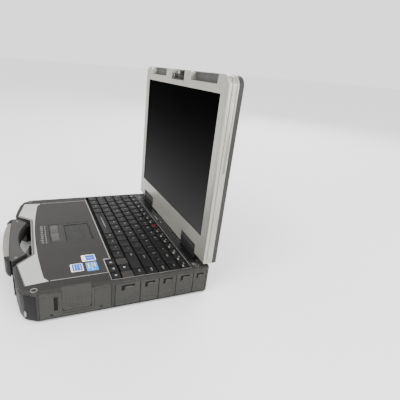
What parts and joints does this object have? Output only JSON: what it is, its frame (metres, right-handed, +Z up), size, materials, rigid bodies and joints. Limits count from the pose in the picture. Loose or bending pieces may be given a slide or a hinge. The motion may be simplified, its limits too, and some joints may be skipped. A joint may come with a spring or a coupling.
{
  "type": "laptop computer",
  "caption": "Rugged clamshell laptop with a front carry handle, hinged port covers, touchpad, full keyboard and a thick ridged lid standing open.",
  "frame": {"origin": "bottom centre of the bounding box, on the plane the feet rest on", "axes": "+Z up, +X to the user's right, -Y towards the user (handle side), +Y to the back"},
  "size_m": [0.302, 0.2968, 0.3117],
  "materials": {
    "case": "painted magnesium, fine texture",
    "deck": "painted magnesium, fine texture",
    "trim_silver": "silver paint, satin",
    "palmrest": "dark warm grey paint, fine texture",
    "bezel_silver": "silver paint, satin",
    "lid_shell": "painted magnesium, coarse texture",
    "badge": "satin",
    "keycap": "fine texture",
    "tray": "matte",
    "touchpad": "smooth film",
    "pad_button": "satin",
    "gloss_bar": "glossy",
    "hinge_plastic": "matte",
    "steel": "turned",
    "cover": "fine texture",
    "grip": "grained",
    "handle_band": "metallic paint",
    "rubber": "matte",
    "board": "solder mask",
    "spreader": "machined",
    "battery": "matte",
    "panel": "dark film",
    "screen_glass": "anti-glare coated",
    "latch": "satin",
    "socket": "matte"
  },
  "bodies": {
    "base": {"base_bottom_case": "case", "base_top_case": "deck", "front_trim_plate": "trim_silver", "palmrest_plate": "palmrest", "touchpad_sensor": "touchpad", "keyboard_tray": "tray", "rear_deck_bar": "gloss_bar", "hinge_cover_left": "hinge_plastic", "hinge_cover_right": "hinge_plastic", "handle_grip": "grip", "handle_front_cover": "handle_band", "foot_front_left": "rubber", "foot_front_right": "rubber", "foot_rear_left": "rubber", "foot_rear_right": "rubber", "main_board": "board", "port_block_right": "socket", "heat_spreader": "spreader", "hard_drive_caddy": "spreader"},
    "lid": {"lid_front_bezel": "bezel_silver", "lid_back_shell": "lid_shell", "lid_badge": "badge", "display_panel": "panel", "display_glass": "screen_glass", "hinge_shaft_left": "steel", "hinge_shaft_right": "steel", "hinge_bracket_left": "steel", "hinge_bracket_right": "steel"},
    "lid_latch": {"lid_latch": "latch"},
    "battery": {"battery_pack": "battery", "battery_end_cover": "cover"},
    "battery_latch": {"battery_latch_tab": "cover"},
    "port_cover_right_1": {"port_cover_right_1": "cover"},
    "port_cover_right_2": {"port_cover_right_2": "cover"},
    "port_cover_right_3": {"port_cover_right_3": "cover"},
    "port_cover_right_4": {"port_cover_right_4": "cover"},
    "port_cover_right_5": {"port_cover_right_5": "cover"},
    "hard_drive_cover": {"hard_drive_cover": "cover"},
    "card_slot_cover": {"card_slot_cover": "cover"},
    "rear_port_cover_centre": {"rear_port_cover_centre": "cover"},
    "rear_port_cover_side": {"rear_port_cover_side": "cover"},
    "optical_drive": {"optical_drive": "cover"},
    "key_row_function": {"key_row_function": "keycap"},
    "key_row_number": {"key_row_number": "keycap"},
    "key_row_upper": {"key_row_upper": "keycap"},
    "key_row_home": {"key_row_home": "keycap"},
    "key_row_lower": {"key_row_lower": "keycap"},
    "key_row_bottom_left": {"key_row_bottom_left": "keycap"},
    "key_row_bottom_right": {"key_row_bottom_right": "keycap"},
    "key_column_navigation": {"key_column_navigation": "keycap"},
    "key_space_bar": {"key_space_bar": "keycap"},
    "key_enter": {"key_enter": "keycap"},
    "key_arrow_left": {"key_arrow_left": "keycap"},
    "key_arrow_down": {"key_arrow_down": "keycap"},
    "key_arrow_right": {"key_arrow_right": "keycap"},
    "key_arrow_up": {"key_arrow_up": "keycap"},
    "touchpad_button_left": {"touchpad_button_left": "pad_button"},
    "touchpad_button_right": {"touchpad_button_right": "pad_button"},
    "power_button": {"power_button": "pad_button"}
  },
  "joints": [
    {"name": "lid_hinge", "type": "hinge", "parent": "base", "child": "lid", "pos_m": [0, 0.1343, 0.056], "axis": [1, 0, 0], "range_deg": [-40, 90]},
    {"name": "lid_latch_pivot", "type": "hinge", "parent": "lid", "child": "lid_latch", "pos_m": [0, 0.1316, 0.3], "axis": [1, 0, 0], "range_deg": [0, 22], "stiffness_Nm_per_rad": 0.06, "springref_deg": -8.59},
    {"name": "battery_slide", "type": "slide", "parent": "base", "child": "battery", "axis": [1, 0, 0], "range_m": [0, 0.09]},
    {"name": "battery_latch_pivot", "type": "hinge", "parent": "battery", "child": "battery_latch", "pos_m": [0.1504, -0.0552, 0.0134], "axis": [0, 1, 0], "range_deg": [0, 20], "stiffness_Nm_per_rad": 0.05, "springref_deg": -8.59},
    {"name": "port_cover_right_1_hinge", "type": "hinge", "parent": "base", "child": "port_cover_right_1", "pos_m": [0.1497, 0.0131, 0.0055], "axis": [0, 1, 0], "range_deg": [0, 90]},
    {"name": "port_cover_right_2_hinge", "type": "hinge", "parent": "base", "child": "port_cover_right_2", "pos_m": [0.1497, 0.04475, 0.0055], "axis": [0, 1, 0], "range_deg": [0, 90]},
    {"name": "port_cover_right_3_hinge", "type": "hinge", "parent": "base", "child": "port_cover_right_3", "pos_m": [0.1497, 0.0717, 0.0055], "axis": [0, 1, 0], "range_deg": [0, 90]},
    {"name": "port_cover_right_4_hinge", "type": "hinge", "parent": "base", "child": "port_cover_right_4", "pos_m": [0.1497, 0.0987, 0.0055], "axis": [0, 1, 0], "range_deg": [0, 90]},
    {"name": "port_cover_right_5_hinge", "type": "hinge", "parent": "base", "child": "port_cover_right_5", "pos_m": [0.1497, 0.123, 0.0055], "axis": [0, 1, 0], "range_deg": [0, 90]},
    {"name": "hard_drive_cover_hinge", "type": "hinge", "parent": "base", "child": "hard_drive_cover", "pos_m": [-0.1497, -0.0544, 0.0263], "axis": [0, -1, 0], "range_deg": [0, 90]},
    {"name": "card_slot_cover_hinge", "type": "hinge", "parent": "base", "child": "card_slot_cover", "pos_m": [-0.1497, 0.0716, 0.0103], "axis": [0, -1, 0], "range_deg": [0, 90]},
    {"name": "rear_port_cover_centre_hinge", "type": "hinge", "parent": "base", "child": "rear_port_cover_centre", "pos_m": [0.0255, 0.1383, 0.0083], "axis": [-1, 0, 0], "range_deg": [0, 90]},
    {"name": "rear_port_cover_side_hinge", "type": "hinge", "parent": "base", "child": "rear_port_cover_side", "pos_m": [-0.125, 0.1383, 0.0063], "axis": [-1, 0, 0], "range_deg": [0, 90]},
    {"name": "optical_drive_slide", "type": "slide", "parent": "base", "child": "optical_drive", "axis": [-1, 0, 0], "range_m": [0, 0.12]},
    {"name": "key_row_function_travel", "type": "slide", "parent": "base", "child": "key_row_function", "axis": [0, 0, -1], "range_m": [0, 0.0015], "stiffness_N_per_m": 1500, "springref_m": -0.0008},
    {"name": "key_row_number_travel", "type": "slide", "parent": "base", "child": "key_row_number", "axis": [0, 0, -1], "range_m": [0, 0.0015], "stiffness_N_per_m": 1500, "springref_m": -0.0008},
    {"name": "key_row_upper_travel", "type": "slide", "parent": "base", "child": "key_row_upper", "axis": [0, 0, -1], "range_m": [0, 0.0015], "stiffness_N_per_m": 1500, "springref_m": -0.0008},
    {"name": "key_row_home_travel", "type": "slide", "parent": "base", "child": "key_row_home", "axis": [0, 0, -1], "range_m": [0, 0.0015], "stiffness_N_per_m": 1500, "springref_m": -0.0008},
    {"name": "key_row_lower_travel", "type": "slide", "parent": "base", "child": "key_row_lower", "axis": [0, 0, -1], "range_m": [0, 0.0015], "stiffness_N_per_m": 1500, "springref_m": -0.0008},
    {"name": "key_row_bottom_left_travel", "type": "slide", "parent": "base", "child": "key_row_bottom_left", "axis": [0, 0, -1], "range_m": [0, 0.0015], "stiffness_N_per_m": 1500, "springref_m": -0.0008},
    {"name": "key_row_bottom_right_travel", "type": "slide", "parent": "base", "child": "key_row_bottom_right", "axis": [0, 0, -1], "range_m": [0, 0.0015], "stiffness_N_per_m": 1500, "springref_m": -0.0008},
    {"name": "key_column_navigation_travel", "type": "slide", "parent": "base", "child": "key_column_navigation", "axis": [0, 0, -1], "range_m": [0, 0.0015], "stiffness_N_per_m": 1500, "springref_m": -0.0008},
    {"name": "key_space_bar_travel", "type": "slide", "parent": "base", "child": "key_space_bar", "axis": [0, 0, -1], "range_m": [0, 0.0015], "stiffness_N_per_m": 400, "springref_m": -0.0008},
    {"name": "key_enter_travel", "type": "slide", "parent": "base", "child": "key_enter", "axis": [0, 0, -1], "range_m": [0, 0.0015], "stiffness_N_per_m": 400, "springref_m": -0.0008},
    {"name": "key_arrow_left_travel", "type": "slide", "parent": "base", "child": "key_arrow_left", "axis": [0, 0, -1], "range_m": [0, 0.0015], "stiffness_N_per_m": 400, "springref_m": -0.0008},
    {"name": "key_arrow_down_travel", "type": "slide", "parent": "base", "child": "key_arrow_down", "axis": [0, 0, -1], "range_m": [0, 0.0015], "stiffness_N_per_m": 400, "springref_m": -0.0008},
    {"name": "key_arrow_right_travel", "type": "slide", "parent": "base", "child": "key_arrow_right", "axis": [0, 0, -1], "range_m": [0, 0.0015], "stiffness_N_per_m": 400, "springref_m": -0.0008},
    {"name": "key_arrow_up_travel", "type": "slide", "parent": "base", "child": "key_arrow_up", "axis": [0, 0, -1], "range_m": [0, 0.0015], "stiffness_N_per_m": 400, "springref_m": -0.0008},
    {"name": "touchpad_button_left_travel", "type": "slide", "parent": "base", "child": "touchpad_button_left", "axis": [0, 0, -1], "range_m": [0, 0.0005], "stiffness_N_per_m": 600, "springref_m": -0.0005},
    {"name": "touchpad_button_right_travel", "type": "slide", "parent": "base", "child": "touchpad_button_right", "axis": [0, 0, -1], "range_m": [0, 0.0005], "stiffness_N_per_m": 600, "springref_m": -0.0005},
    {"name": "power_button_travel", "type": "slide", "parent": "base", "child": "power_button", "axis": [0, 0, -1], "range_m": [0, 0.0008], "stiffness_N_per_m": 600, "springref_m": -0.0005}
  ]
}
